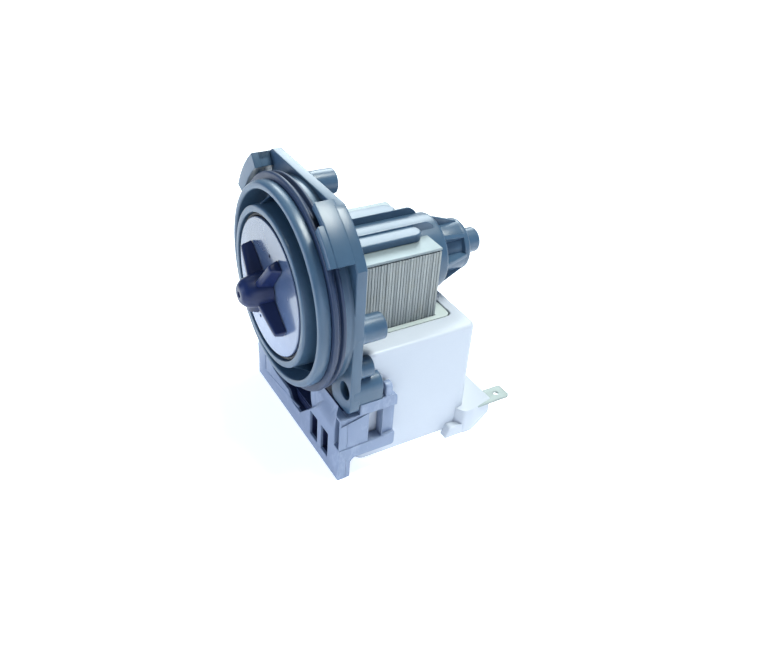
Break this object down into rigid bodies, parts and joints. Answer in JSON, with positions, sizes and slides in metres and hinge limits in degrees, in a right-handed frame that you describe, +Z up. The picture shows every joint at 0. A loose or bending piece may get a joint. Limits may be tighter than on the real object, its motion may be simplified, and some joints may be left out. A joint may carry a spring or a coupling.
{
  "type": "washer drain pump",
  "caption": "Drain pump motor unit: flat mounting plate with a round sealing spigot and small vane impeller, laminated core, white coil cover, two spade terminals.",
  "frame": {"origin": "point on the rotor axis level with the flat front face of the mounting plate", "axes": "+Y along the rotor axis towards the rear of the motor, +Z up from the coil cover towards the top edge of the plate, +X to the right when looking along +Y"},
  "size_m": [0.0695, 0.0843, 0.0886],
  "materials": {
    "flange_plastic": "smooth moulded plastic, satin",
    "seal_rubber": "matt rubber",
    "disc_plastic": "glossy moulded plastic",
    "black_rubber": "matt rubber",
    "sintered_bush": "sintered metal",
    "can_plastic": "smooth moulded plastic, satin",
    "laminations": "stacked steel sheet with fine grooves",
    "bracket_plastic": "smooth moulded plastic, satin",
    "cover_plastic": "smooth white moulded plastic",
    "former_plastic": "smooth white moulded plastic",
    "winding_copper": "enamelled copper wire",
    "lead_metal": "tinned wire",
    "terminal_tin": "tinned brass sheet",
    "shaft_steel": "ground steel",
    "magnet_ferrite": "dark ferrite",
    "carrier_plastic": "dark moulded plastic",
    "dog_plastic": "pale moulded plastic",
    "washer_plastic": "bearing plastic",
    "impeller_plastic": "glossy dark moulded plastic"
  },
  "bodies": {
    "motor": {"mounting_flange": "flange_plastic", "spigot_seal": "seal_rubber", "bearing_disc": "disc_plastic", "disc_seal": "black_rubber", "front_bush": "sintered_bush", "front_bush_ring": "black_rubber", "rotor_can": "can_plastic", "rear_bush": "sintered_bush", "rear_bush_ring": "black_rubber", "stator_core": "laminations", "lower_bracket": "bracket_plastic", "coil_cover": "cover_plastic", "cover_base": "cover_plastic", "bobbin_left": "former_plastic", "bobbin_right": "former_plastic", "winding_left": "winding_copper", "winding_right": "winding_copper", "coil_link": "winding_copper", "lead_left": "lead_metal", "lead_right": "lead_metal", "terminal_left": "terminal_tin", "terminal_right": "terminal_tin"},
    "rotor": {"shaft": "shaft_steel", "rotor_magnet": "magnet_ferrite", "magnet_carrier": "carrier_plastic", "drive_dog": "dog_plastic", "thrust_washer_front": "washer_plastic", "thrust_washer_rear": "washer_plastic"},
    "impeller": {"impeller": "impeller_plastic", "stop_buffer": "black_rubber", "dog_retainer": "carrier_plastic"}
  },
  "joints": [
    {"name": "rotor_spin", "type": "hinge", "parent": "motor", "child": "rotor", "pos_m": [0, 0, 0], "axis": [0, 1, 0], "continuous": true},
    {"name": "impeller_play", "type": "hinge", "parent": "rotor", "child": "impeller", "pos_m": [0, 0, 0], "axis": [0, 1, 0], "range_deg": [-135, 135]}
  ]
}
